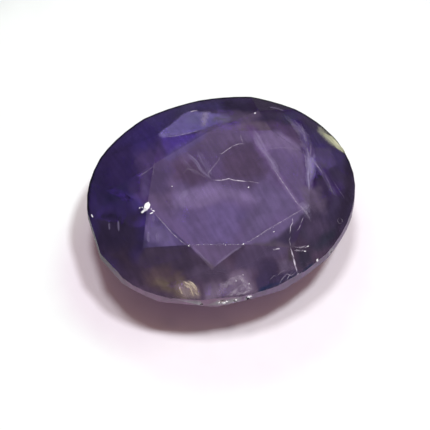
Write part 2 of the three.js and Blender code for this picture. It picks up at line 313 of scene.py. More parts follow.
# zones in the skin, as corners in mm seen from above with a soft edge, later ones over earlier ones;
# "on" keeps a zone to the table (flat), the stars round it (star) or the rest of the crown (rest),
# "share" paints it thinner, and "shake" says how unevenly its edge runs
# most zones are the stone's colour and haze; some paint light and shade: glows, dark windows, a reflection
zones = {
    "topBlue": {"soft": 0.5, "tint": (0.129, 0.101, 0.29), "at": (
        (-1.31, 3.77), (-0.05, 4.0), (1.77, 3.52), (1.5, 2.93), (0.07, 3.44), (-0.69, 3.42),
    )},
    "topDark": {"soft": 0.4, "tint": (0.122, 0.089, 0.177), "at": (
        (2.18, 3.3), (3.15, 2.82), (3.56, 2.2), (2.98, 1.98), (2.26, 2.18), (1.91, 2.72),
    )},
    "topMauve": {"soft": 0.5, "tint": (0.248, 0.179, 0.313), "at": (
        (1.08, 3.52), (2.18, 3.3), (1.83, 2.34), (1.34, 2.15), (1.05, 2.6),
    )},
    "backMauve": {"soft": 0.35, "tint": (0.253, 0.159, 0.334), "at": (
        (1.5, 2.25), (2.48, 2.28), (3.1, 2.13), (3.45, 1.1), (3.2, 0.9), (2.57, 1.77),
    )},
    "leftTop": {"soft": 0.7, "tint": (0.112, 0.071, 0.333), "at": (
        (-3.75, 2.75), (-2.45, 3.62), (-0.98, 3.9), (-1.62, 2.89), (-2.28, 2.21), (-3.13, 2.08),
    )},
    # glowLeft and glowCorner: the violet glow of light through the left crown, painted into the skin
    "glowLeft": {"soft": 0.7, "tint": (0.061, 0.048, 0.159), "at": (
        (-4.6, 1.9), (-3.5, 1.6), (-3.42, 0.51), (-3.87, 0.11), (-4.55, 0.37),
    )},
    "glowCorner": {"soft": 0.4, "tint": (0.163, 0.109, 0.476), "at": (
        (-3.28, 0.46), (-2.84, 0.4), (-2.95, -0.41), (-3.32, -0.18),
    )},
    "lowerLeft": {"soft": 0.6, "tint": (0.079, 0.055, 0.128), "at": (
        (-4.76, -0.16), (-3.14, -0.41), (-3.34, -1.69), (-4.46, -1.83), (-4.85, -1.07),
    )},
    "rightIndigo": {"soft": 0.5, "tint": (0.137, 0.096, 0.287), "at": (
        (3.67, 1.99), (3.99, 1.69), (4.53, 0.97), (4.7, 0.36), (4.11, 0.13), (3.66, 0.86),
    )},
    "rightDark": {"soft": 0.4, "tint": (0.115, 0.074, 0.183), "at": (
        (3.61, -0.09), (4.02, -0.31), (3.99, -1.22), (3.45, -1.62), (3.31, -0.8),
    )},
    "lowRight": {"soft": 0.4, "tint": (0.097, 0.091, 0.153), "at": (
        (2.49, -2.28), (3.89, -2.08), (3.53, -2.79), (2.84, -2.8), (2.59, -2.55),
    )},
    "mainLeftFront": {"soft": 0.3, "tint": (0.148, 0.101, 0.18), "on": "rest", "at": (
        (-3.27, -1.72), (-1.95, -2.03), (-0.87, -3.0), (-1.28, -3.23), (-2.82, -2.65), (-3.49, -2.26),
    )},
    "rightFrontGrey": {"soft": 0.35, "tint": (0.266, 0.186, 0.357), "on": "rest", "at": (
        (0.1, -2.65), (0.41, -2.5), (1.87, -2.7), (1.92, -3.02), (1.1, -3.05), (0.39, -3.3), (-0.2, -3.2),
    )},
    "darkRightFront": {"soft": 0.35, "tint": (0.157, 0.108, 0.229), "on": "rest", "at": (
        (0.64, -3.1), (1.31, -3.06), (1.56, -3.18), (1.36, -3.47), (0.68, -3.52),
    )},
    "oliveArea": {"soft": 0.5, "tint": (0.251, 0.163, 0.18), "on": "rest", "at": (
        (-3.51, -2.38), (-2.45, -2.68), (-1.93, -3.08), (-2.06, -3.73), (-2.82, -3.43), (-3.4, -2.95),
    )},
    "oliveGreen": {"soft": 0.5, "tint": (0.482, 0.362, 0.266), "on": "rest", "at": (
        (-2.95, -2.95), (-2.09, -3.17), (-2.13, -3.72), (-2.75, -3.45),
    )},
    "oliveBright": {"soft": 0.14, "tint": (0.661, 0.493, 0.516), "on": "rest", "at": (
        (-2.26, -3.34), (-2.14, -3.22), (-1.95, -3.2), (-1.74, -3.28), (-1.59, -3.47), (-1.51, -3.73),
        (-1.59, -3.84), (-1.84, -3.78), (-2.12, -3.69), (-2.26, -3.53),
    )},
    "darkArc": {"soft": 0.15, "tint": (0.288, 0.195, 0.188), "on": "rest", "at": (
        (-2.64, -3.29), (-2.52, -3.03), (-2.11, -2.86), (-1.96, -2.87), (-2.31, -3.11), (-2.51, -3.38),
    )},
    "darkBand": {"soft": 0.4, "tint": (0.248, 0.175, 0.302), "on": "rest", "at": (
        (-1.9, -2.95), (-1.24, -2.99), (-0.36, -3.07), (-0.51, -3.48), (-1.31, -3.38), (-1.59, -3.25),
    )},
    "blueBand": {"soft": 0.3, "tint": (0.565, 0.416, 0.62), "on": "rest", "at": (
        (-1.37, -3.46), (-0.61, -3.59), (-0.61, -3.98), (-1.35, -3.93),
    )},
    "veilFront": {"soft": 0.35, "tint": (0.535, 0.389, 0.589), "on": "rest", "at": (
        (-0.5, -3.4), (-0.03, -3.3), (0.4, -3.39), (0.5, -3.87), (0.14, -3.98), (-0.61, -4.01),
    )},
    "pinkBlob": {"soft": 0.35, "tint": (0.344, 0.253, 0.421), "on": "rest", "at": (
        (1.53, -3.15), (2.02, -3.16), (2.07, -3.5), (1.53, -3.55),
    )},
    "oliveStrip": {"soft": 0.1, "tint": (0.186, 0.138, 0.18), "on": "rest", "at": (
        (1.91, -2.85), (2.04, -2.86), (2.12, -3.23), (1.93, -3.22),
    )},
    "greenGrey": {"soft": 0.3, "tint": (0.116, 0.093, 0.159), "on": "rest", "at": (
        (2.22, -2.87), (2.83, -2.86), (2.84, -3.23), (2.4, -3.53), (2.19, -3.42),
    )},
    "blueDark": {"soft": 0.15, "tint": (0.154, 0.108, 0.242), "on": "rest", "at": (
        (0.61, -3.88), (0.59, -3.57), (1.0, -3.37), (1.5, -3.51), (2.11, -3.48), (2.16, -3.6),
        (1.44, -3.84), (0.81, -3.97),
    )},
    "frontRimPale": {"soft": 0.1, "tint": (0.043, 0.077, 0.203), "on": "rest", "at": (
        (0.6, -3.91), (1.44, -3.81), (2.24, -3.57), (2.83, -3.29), (2.95, -3.45), (2.25, -3.58),
        (1.28, -3.91), (0.58, -4.02),
    )},
    # a pale yellow window in the back right rim: painted light that comes through the rim there
    "yellowRim": {"soft": 0.06, "tint": (0.78, 0.769, 0.622), "on": "rest", "at": (
        (4.06, 1.96), (4.14, 2.13), (4.45, 2.0), (4.8, 1.55), (5.0, 1.05), (4.9, 0.75), (4.69, 1.0),
        (4.35, 1.25), (4.13, 1.6), (4.03, 1.82),
    )},
    "starLeftPale": {"soft": 0.6, "tint": (0.232, 0.143, 0.453), "on": "star", "at": (
        (-2.9, -0.6), (-2.71, -0.4), (-1.8, -2.06), (-3.1, -1.75),
    )},
    "starLeftBlue": {"soft": 0.5, "tint": (0.353, 0.25, 0.596), "on": "star", "at": (
        (-2.8, -0.87), (-2.45, -1.0), (-2.1, -1.95), (-2.94, -1.73),
    )},
    "starFrontPale": {"soft": 0.1, "tint": (0.291, 0.176, 0.429), "on": "star", "at": (
        (-1.8, -2.0), (-0.82, -3.1), (0.5, -2.35),
    )},
    "starWedge": {"soft": 0.15, "tint": (0.318, 0.208, 0.51), "on": "star", "at": (
        (0.31, -2.52), (0.45, -2.3), (3.04, -1.31), (2.76, -1.64), (2.2, -2.04), (1.86, -2.23),
        (1.57, -2.39), (1.12, -2.55),
    )},
    "violetStar": {"soft": 0.12, "tint": (0.187, 0.111, 0.585), "on": "star", "at": (
        (-1.9, 2.51), (-0.36, 2.24), (-1.76, 1.58),
    )},
    "leftFade": {"soft": 0.85, "tint": (0.193, 0.121, 0.35), "at": (
        (-2.95, 1.5), (-2.8, 1.84), (-2.29, 2.12), (-1.85, 2.05), (-1.73, 1.48), (-2.01, 0.41),
        (-2.34, -0.14), (-2.8, -0.25), (-2.98, 0.4),
    )},
    "backStar": {"soft": 0.3, "tint": (0.529, 0.382, 0.713), "on": "rest", "at": (
        (2.23, 1.89), (2.6, 1.82), (3.05, 1.27), (3.35, 0.68), (3.28, 0.5), (2.98, 0.89), (2.57, 1.47),
    )},
    "topRightGlow": {"soft": 0.3, "tint": (0.099, 0.091, 0.159), "on": "rest", "at": (
        (2.94, 2.93), (3.41, 2.77), (3.31, 2.3), (2.9, 2.35),
    )},
    "rightStarFront": {"soft": 0.25, "tint": (0.095, 0.034, 0.187), "on": "star", "at": (
        (1.81, -2.49), (2.24, -2.04), (2.84, -1.65), (2.86, -1.95), (2.42, -2.61), (1.97, -2.65),
    )},
    "rightLow": {"soft": 0.4, "tint": (0.186, 0.129, 0.249), "on": "rest", "at": (
        (2.85, -1.62), (3.34, -1.39), (3.48, -2.05), (3.12, -2.54), (2.53, -2.65),
    )},
    "topBrown": {"soft": 0.4, "tint": (0.077, 0.056, 0.132), "on": "rest", "at": (
        (0.76, 3.85), (2.14, 3.49), (1.92, 2.77), (0.79, 3.18),
    )},
    "starTop": {"soft": 0.2, "tint": (0.301, 0.22, 0.326), "on": "star", "at": (
        (0.64, 2.43), (1.99, 2.36), (2.68, 1.82), (1.87, 1.77), (-0.2, 2.18),
    )},
    "leftGrey": {"soft": 0.6, "tint": (0.294, 0.19, 0.407), "on": "flat", "at": (
        (-2.4, 1.11), (-1.85, 1.25), (-1.64, 0.38), (-1.85, -0.72), (-2.49, -0.56), (-2.78, -0.3),
    )},
    "brownTop": {"soft": 0.6, "tint": (0.259, 0.173, 0.362), "on": "flat", "at": (
        (-1.75, 1.65), (-0.18, 2.19), (1.29, 2.09), (1.48, 1.38), (0.36, 1.2), (-0.7, 1.16),
    )},
    "lightArch": {"soft": 0.5, "tint": (0.474, 0.331, 0.699), "on": "flat", "at": (
        (-1.92, -0.67), (-1.66, 0.05), (-0.93, 0.2), (0.09, 0.05), (1.15, -0.33), (1.84, -0.77),
        (2.25, -1.44), (1.54, -1.16), (0.57, -0.76), (-0.44, -0.6), (-1.27, -0.6),
    )},
    "bluePatch": {"soft": 0.5, "tint": (0.336, 0.229, 0.583), "on": "flat", "at": (
        (-0.7, -0.68), (0.31, -0.85), (0.28, -1.71), (-0.07, -2.33), (-0.93, -2.17), (-0.91, -1.31),
    )},
    "smudge": {"soft": 0.35, "tint": (0.27, 0.184, 0.494), "on": "flat", "at": (
        (0.27, -1.01), (0.83, -1.2), (0.84, -1.53), (0.26, -1.42),
    )},
    "tableLow": {"soft": 0.5, "tint": (0.3, 0.199, 0.498), "on": "flat", "at": (
        (-1.87, -0.84), (-0.72, -0.7), (-1.0, -2.15), (-1.58, -2.04),
    )},
    "lilacRight": {"soft": 0.6, "tint": (0.315, 0.218, 0.495), "on": "flat", "at": (
        (1.33, -0.19), (2.37, -0.64), (2.66, -1.4), (1.11, -2.03), (0.46, -2.31), (0.61, -1.2),
        (1.13, -0.81),
    )},
    "behindArch": {"soft": 0.5, "tint": (0.307, 0.204, 0.462), "on": "flat", "at": (
        (1.74, 1.13), (2.56, 1.06), (3.17, 0.36), (3.0, -0.85), (2.61, -0.93), (2.22, 0.13),
    )},
    "pinkArch": {"soft": 0.3, "tint": (0.397, 0.277, 0.553), "on": "flat", "at": (
        (1.67, 1.89), (2.5, 1.87), (3.06, 1.31), (3.26, 0.63), (3.06, 0.54), (2.57, 1.14), (1.76, 1.21),
    )},
    "brownLeft": {"soft": 0.5, "tint": (0.215, 0.123, 0.274), "on": "flat", "at": (
        (-1.83, 1.33), (-1.35, 1.49), (-0.73, 1.2), (-0.46, 0.65), (-0.38, 0.26), (-0.91, 0.24),
        (-1.61, 0.54), (-1.84, 0.92),
    )},
    "brownHeart": {"soft": 0.7, "tint": (0.192, 0.114, 0.244), "on": "flat", "at": (
        (0.14, 1.03), (0.44, 1.39), (1.07, 1.55), (1.6, 1.37), (1.77, 0.71), (1.83, 0.08), (1.43, -0.09),
        (0.42, 0.2), (-0.22, 0.37), (-0.29, 0.58),
    )},
    "veilMid": {"soft": 0.45, "tint": (0.23, 0.138, 0.364), "on": "flat", "share": 0.8, "at": (
        (-1.02, 1.67), (-0.51, 1.78), (0.19, 0.52), (-0.31, 0.25), (-0.55, 0.38),
    )},
    "diagonalBand": {"soft": 0.3, "tint": (0.313, 0.177, 0.465), "at": (
        (1.39, 2.23), (1.72, 2.17), (2.04, 0.74), (2.39, -0.52), (2.78, -1.57), (2.61, -1.47),
        (2.13, -0.35), (1.69, 0.89),
    )},
    "rightVeil": {"soft": 0.3, "tint": (0.083, 0.01, 0.23), "at": (
        (3.26, 0.97), (3.6, 0.96), (3.58, 0.33), (3.29, -0.72), (3.09, -0.78), (3.16, 0.11),
    )},
    "greyPatch": {"soft": 0.35, "tint": (0.298, 0.214, 0.368), "at": (
        (2.95, -0.67), (3.56, -0.7), (3.55, -1.62), (2.85, -1.52),
    )},
    "rightStreakA": {"soft": 0.3, "tint": (0.092, 0.027, 0.299), "on": "rest", "at": (
        (3.2, 2.51), (3.54, 2.3), (3.58, 1.57), (3.51, 1.06), (3.33, 1.11), (3.3, 1.88),
    )},
    "rightStreakB": {"soft": 0.35, "tint": (0.162, 0.086, 0.327), "on": "rest", "at": (
        (3.51, 1.06), (3.73, 0.86), (4.04, -0.23), (4.38, -0.62), (4.37, -1.04), (4.07, -1.18),
        (3.83, -0.5), (3.5, 0.32),
    )},
    # painted shade: near black where light would show through the crown
    "rightWindow": {"soft": 0.35, "tint": (0.04, 0.04, 0.02), "on": "star", "at": (
        (3.41, 0.32), (3.49, 0.27), (3.63, 0.03), (3.66, -0.13), (3.56, -0.33), (3.3, -0.32), (3.32, 0.08),
    )},
    "rightCorner": {"soft": 0.15, "tint": (0.203, 0.154, 0.276), "on": "rest", "at": (
        (3.7, 0.91), (4.34, 0.99), (4.38, 0.67), (4.4, 0.37), (4.1, 0.08), (3.8, 0.09), (3.68, 0.42),
    )},
    "rightRim": {"soft": 0.4, "tint": (0.08, 0.055, 0.11), "on": "rest", "at": (
        (4.91, 0.58), (4.98, 0.05), (4.93, -0.56), (4.73, -1.14), (4.3, -1.94), (3.89, -2.5), (3.55, -2.67),
        (3.9, -2.04), (4.26, -1.38), (4.51, -0.56), (4.61, 0.09),
    )},
    # leftWindow and leftWindowLow: painted shade where light would show through the crown
    "leftWindow": {"soft": 0.25, "tint": (0.022, 0.02, 0.02), "on": "rest", "at": (
        (-4.12, 0.92), (-3.88, 0.6), (-3.64, 0.36), (-3.45, 0.12), (-3.18, 0.18), (-3.36, 0.6),
        (-3.68, 0.92), (-3.95, 1.06),
    )},
    "leftWindowLow": {"soft": 0.3, "tint": (0.03, 0.026, 0.03), "on": "rest", "at": (
        (-4.68, 0.06), (-4.36, -0.09), (-4.14, -0.1), (-3.83, -0.26), (-3.75, -0.45), (-3.81, -0.59),
        (-4.19, -0.4), (-4.46, -0.21),
    )},
    "lensFade": {"soft": 0.5, "tint": (0.241, 0.182, 0.313), "on": "rest", "at": (
        (0.41, 3.23), (1.21, 2.87), (1.46, 2.24), (0.59, 2.2), (-0.06, 2.34),
    )},
    "leftMid": {"soft": 0.7, "tint": (0.082, 0.051, 0.199), "on": "rest", "at": (
        (-4.3, 2.2), (-3.61, 2.83), (-3.0, 2.41), (-2.85, 1.52), (-3.13, 0.84), (-3.62, 0.66),
        (-4.39, 1.01),
    )},
    "leftEdge": {"soft": 0.5, "tint": (0.181, 0.101, 0.341), "on": "star", "at": (
        (-2.92, 1.16), (-2.26, 1.9), (-2.03, 1.87), (-2.32, 0.76), (-2.7, -0.31), (-3.03, -0.22),
        (-3.08, 0.48),
    )},
    "frontLeft": {"soft": 0.7, "tint": (0.115, 0.075, 0.13), "on": "rest", "at": (
        (-4.75, -1.34), (-3.79, -1.47), (-3.55, -2.17), (-3.33, -3.0), (-3.75, -2.81), (-4.32, -2.26),
    )},
    "topRightDark": {"soft": 0.3, "tint": (0.08, 0.048, 0.13), "on": "rest", "at": (
        (1.79, 3.63), (2.24, 3.61), (2.9, 3.4), (3.29, 2.93), (3.14, 2.77), (2.3, 2.76), (1.71, 2.87),
    )},
    "wedgeDark": {"soft": 0.25, "tint": (0.079, 0.04, 0.146), "at": (
        (1.46, -2.48), (1.8, -2.23), (2.2, -2.03), (2.33, -2.16), (2.22, -2.44), (1.88, -2.66),
    )},
    # painted shade where light would show through the crown
    "cornerWindow": {"soft": 0.3, "tint": (0.093, 0.063, 0.155), "at": (
        (-3.14, 1.14), (-2.92, 1.02), (-2.86, 0.6), (-2.98, 0.3), (-3.24, 0.4), (-3.34, 0.82),
    )},
    "tableLeftEdge": {"soft": 0.4, "tint": (0.202, 0.128, 0.323), "on": "flat", "at": (
        (-2.34, 1.65), (-1.72, 1.56), (-1.75, 0.78), (-1.99, 0.12), (-2.62, 0.16), (-2.55, 0.91),
    )},
    "starLeftEdge": {"soft": 0.3, "tint": (0.228, 0.157, 0.412), "on": "star", "at": (
        (-2.68, 1.45), (-2.39, 1.57), (-2.53, 0.9), (-2.67, 0.09), (-2.93, 0.09), (-2.8, 0.82),
    )},
    "edgeHaze": {"soft": 0.22, "tint": (0.262, 0.188, 0.545), "share": 0.75, "at": (
        (-1.88, 1.5), (-1.55, 1.83), (-1.19, 1.97), (-0.78, 2.12), (-0.25, 2.31), (-0.18, 2.09),
        (-0.6, 1.88), (-0.97, 1.7), (-1.35, 1.49), (-1.73, 1.31),
    )},
    "underLens": {"soft": 0.2, "tint": (0.282, 0.206, 0.389), "at": (
        (-0.53, 2.26), (-0.18, 2.51), (0.22, 2.6), (0.73, 2.52), (0.83, 2.25), (0.18, 2.23), (-0.2, 2.22),
    )},
    # lens and the three zones after it: a painted reflection on a back crown facet, with its darker middle,
    # its grey right part and a painted highlight strip
    "lens": {"soft": 0.06, "tint": (0.402, 0.325, 0.801), "shake": 0.0, "at": (
        (-1.91, 2.58), (-1.68, 2.79), (-1.38, 2.97), (-1.02, 3.27), (-0.76, 3.47), (-0.55, 3.54),
        (-0.3, 3.47), (0.05, 3.33), (0.47, 3.1), (0.83, 2.83), (0.87, 2.65), (0.37, 2.61), (-0.11, 2.46),
        (-0.73, 2.36), (-1.37, 2.39), (-1.78, 2.45),
    )},
    "lensDark": {"soft": 0.2, "tint": (0.355, 0.322, 0.645), "share": 0.7, "at": (
        (-0.7, 3.3), (-0.1, 3.28), (-0.22, 2.87), (-0.45, 2.77), (-0.75, 3.0),
    )},
    "lensWindow": {"soft": 0.2, "tint": (0.321, 0.288, 0.39), "at": (
        (0.25, 2.76), (0.34, 3.02), (0.5, 3.09), (0.7, 2.95), (0.86, 2.76), (0.75, 2.62), (0.49, 2.64),
    )},
    "lensHighlightStrip": {"soft": 0.2, "tint": (0.766, 0.648, 1.0), "at": (
        (-0.06, 3.3), (0.12, 3.25), (-0.05, 2.56), (-0.21, 2.55),
    )},
}


# the steepest slope, in degrees from level, of each kind of facet
slopes = {"flat": 8, "star": 22, "rest": 78, "girdle": 102, "under": 181}


def kindOf(normal):
    slope = math.degrees(math.acos(max(-1, min(1, normal.z))))
    return next(kind for kind, most in slopes.items() if slope < most)


# cuts the crown along even lines in x and then in y, without changing its shape
def cutCells(mesh, size):
    leastUp = 0.2  # the crown's facets look up at least this much
    for axis in (0, 1):
        crown = [face for face in mesh.faces if face.normal.z > leastUp]
        across = [vert.co[axis] for face in crown for vert in face.verts]
        steps = int((max(across) - min(across)) / size)
        for i in range(1, steps + 1):
            cut = Vector((0, 0, 0))
            cut[axis] = min(across) + i * size
            way = Vector((0, 0, 0))
            way[axis] = 1
            ahead = [face for face in crown if max(vert.co[axis] for vert in face.verts) > cut[axis]]
            edges = dict.fromkeys(edge for face in ahead for edge in face.edges)
            verts = dict.fromkeys(vert for face in ahead for vert in face.verts)
            found = bmesh.ops.bisect_plane(
                mesh, geom=[*ahead, *edges, *verts], dist=1e-8, plane_co=cut, plane_no=way
            )
            crown = [item for item in found["geom"] if isinstance(item, bmesh.types.BMFace)]


def crystalMesh(s):
    mesh = bmesh.new()
    mesh.from_mesh(stone.data)
    bmesh.ops.remove_doubles(mesh, verts=mesh.verts, dist=s["weld"] * mm)
    bmesh.ops.dissolve_limit(
        mesh, angle_limit=math.radians(s["flatWithin"]), verts=mesh.verts, edges=mesh.edges
    )
    wornFrom = math.radians(s["edgeFrom"])
    sharp = [edge for edge in mesh.edges if len(edge.link_faces) == 2 and edge.calc_face_angle(0) > wornFrom]
    bmesh.ops.bevel(
        mesh, geom=sharp, offset=s["edgeWear"] * mm, offset_type="OFFSET", segments=2, profile=0.5,
        affect="EDGES", clamp_overlap=True,
    )
    bmesh.ops.recalc_face_normals(mesh, faces=mesh.faces)
    cutCells(mesh, s["cell"] * mm)
    # the cuts leave the faces in a different order each run, so they are listed anew by their corners
    mesh.verts.index_update()
    faces = []
    for face in mesh.faces:
        ring = [vert.index for vert in face.verts]
        first = ring.index(min(ring))
        faces.append(ring[first:] + ring[:first])
    data = bpy.data.meshes.new("crystal")
    data.from_pydata([vert.co for vert in mesh.verts], [], sorted(faces))
    mesh.free()
    return data


# distance in mm from each place to a line through the corners
def gapTo(places, corners):
    gap = np.full(len(places), 99.0)
    for start, end in zip(corners, corners[1:] + corners[:1]):
        start = np.array(start)
        way = np.array(end) - start
        along = np.clip((places - start) @ way / (way @ way), 0, 1)
        gap = np.minimum(gap, np.linalg.norm(places - start - along[:, None] * way, axis=1))
    return gap


def within(places, corners):
    inside = np.zeros(len(places), bool)
    for (x1, y1), (x2, y2) in zip(corners, corners[1:] + corners[:1]):
        if y1 == y2:
            continue
        level = (y1 > places[:, 1]) != (y2 > places[:, 1])
        inside ^= level & (places[:, 0] < x1 + (x2 - x1) * (places[:, 1] - y1) / (y2 - y1))
    return inside


def smooth(value, low, high):
    share = np.clip((value - low) / (high - low), 0, 1)
    return share * share * (3 - 2 * share)


def zoneShare(places, wave, s):
    bySoftness, more = waves["shift"]
    places = places + wave * s.get("shake", bySoftness * s["soft"] + more)
    gap = gapTo(places, s["at"])
    out = np.where(within(places, s["at"]), -gap, gap)
    return s.get("share", 1.0) * smooth(out, s["soft"] / 2, -s["soft"] / 2)


# distance in mm from each point to the nearest one on the girdle
def rimGap(points, corner, kinds):
    girdle = np.unique(corner[kinds == "girdle"])
    tree = KDTree(len(girdle))
    for i in girdle:
        tree.insert(points[i], int(i))
    tree.balance()
    return np.array([tree.find(point)[2] for point in points])


def waveAt(point):
    fine = noise.noise_vector(point / waves["fine"])
    return noise.noise_vector(point / waves["slow"]) + waves["share"] * fine


# writes each face corner's colour, so that a zone can end sharply at a facet's edge
def paintCrystal(data):
    points = np.array([vertex.co for vertex in data.vertices]) / mm
    wave = np.array([waveAt(Vector(point)) for point in points])
    places, wave = points[:, :2], wave[:, :2]
    corner = np.zeros(len(data.loops), int)
    data.loops.foreach_get("vertex_index", corner)
    kinds = np.array([kindOf(face.normal) for face in data.polygons])
    kinds = np.repeat(kinds, [face.loop_total for face in data.polygons])

    tints = {name: np.array(tint) for name, tint in skinTints.items()}
    x, y = places.T
    across = smooth(x, *blends["acrossX"])[:, None]
    colour = tints["left"] * (1 - across) + tints["right"] * across
    front = smooth(y, *blends["frontY"])[:, None]
    colour = (colour * (1 - front) + tints["front"] * front)[corner]
    for kind in ("flat", "under"):
        colour[kinds == kind] = tints[kind]
    ground = kinds == "girdle"
    # painted shade: the girdle darkens towards its far left end
    left = smooth(x, *blends["girdleLeftX"])[corner][ground][:, None]
    right = smooth(x, *blends["girdleRightX"])[corner][ground][:, None]
    colour[ground] = (
        tints["girdle"] * (1 - left - right) + tints["girdleLeftShade"] * left + tints["girdleRight"] * right
    )
    crown = np.isin(kinds, ("flat", "star", "rest"))
    for s in zones.values():
        share = zoneShare(places, wave, s)[corner] * ((kinds == s["on"]) if "on" in s else crown)
        colour += share[:, None] * (np.array(s["tint"]) - colour)
    # painted shade along the crown's back rim
    line = smooth(rimGap(points, corner, kinds), *blends["rimGap"]) * smooth(y, *blends["rimBackY"])
    line = (line[corner] * (kinds == "rest"))[:, None]
    colour += line * (tints["rimShade"] - colour)
    for place in bruises["at"]:
        gap = np.linalg.norm(points - np.array(place), axis=1)[corner]
        share = smooth(gap, bruises["reach"], bruises["core"])[:, None]
        colour += share * (np.array(bruises["tint"]) - colour)
    rgba = np.column_stack([colour, np.ones(len(colour))])
    data.attributes.new("zoneTint", "FLOAT_COLOR", "CORNER").data.foreach_set("color", rgba.ravel())
    polish = np.where(ground, 0.0, 1.0)
    data.attributes.new("polish", "FLOAT", "CORNER").data.foreach_set("value", polish)


# the painted zones, with clouds and growth streaks in them
def crystalColour(tree, s):
    inMm = placeInMm(tree)
    x, y = s["streakWay"]
    across = measure(tree, "DOT_PRODUCT", inMm, (-y, x, 0))
    along = measure(tree, "DOT_PRODUCT", inMm, (x, y, 0))
    streak = streaks(tree, across, along, s["streakFine"], s["streakLong"])
    inputs = {"Vector": inMm, "Scale": s["cloudScale"], "Detail": 5.0}
    cloud = addNode(tree, "ShaderNodeTexNoise", inputs).outputs["Fac"]
    streak = remap(tree, streak, 0.0, 1.0, 1 - s["streakDepth"], 1 + s["streakDepth"])
    cloud = remap(tree, cloud, *s["cloudRange"], 1 - s["cloudDepth"], 1 + s["cloudDepth"])
    return scaled(tree, attribute(tree, "zoneTint", "Color"), calc(tree, "MULTIPLY", streak, cloud))


def makeCrystal(s):
    data = crystalMesh(s)
    paintCrystal(data)
    body = bpy.data.objects.new("crystal", data)
    bpy.context.scene.collection.objects.link(body)
    material, tree, shader = newMaterial("iolite")
    shader.inputs["Transmission Weight"].default_value = s["seeThrough"]
    shader.inputs["IOR"].default_value = s["ior"]
    polish = attribute(tree, "polish")
    feed(tree, shader.inputs["Roughness"], remap(tree, polish, 0.0, 1.0, s["groundRough"], s["roughness"]))
    feed(tree, shader.inputs["Coat Weight"], calc(tree, "MULTIPLY", polish, s["gloss"]))
    shader.inputs["Coat Roughness"].default_value = s["glossRough"]
    shader.inputs["Coat IOR"].default_value = s["glossIor"]
    feed(tree, shader.inputs["Base Color"], crystalColour(tree, s))
    absorption = addNode(
        tree, "ShaderNodeVolumeAbsorption", {"Color": (*s["deep"], 1), "Density": s["density"]}
    )
    output = tree.nodes["Material Output"]
    feed(tree, output.inputs["Volume"], absorption.outputs["Volume"])
    path = addNode(tree, "ShaderNodeLightPath", {})
    clear = addNode(tree, "ShaderNodeBsdfTransparent", {"Color": (*s["lampTint"], 1)})
    mix = addNode(
        tree, "ShaderNodeMixShader",
        {"Fac": path.outputs["Is Shadow Ray"], 1: shader.outputs["BSDF"], 2: clear.outputs["BSDF"]},
    )
    feed(tree, output.inputs["Surface"], mix.outputs["Shader"])
    data.materials.append(material)
    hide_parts("gemstone")
    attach(body, "root")
    return body


body = makeCrystal(crystal)
print("crystal ready", len(body.data.polygons))


skin = BVHTree.FromPolygons([v.co for v in stone.data.vertices], [p.vertices for p in stone.data.polygons])
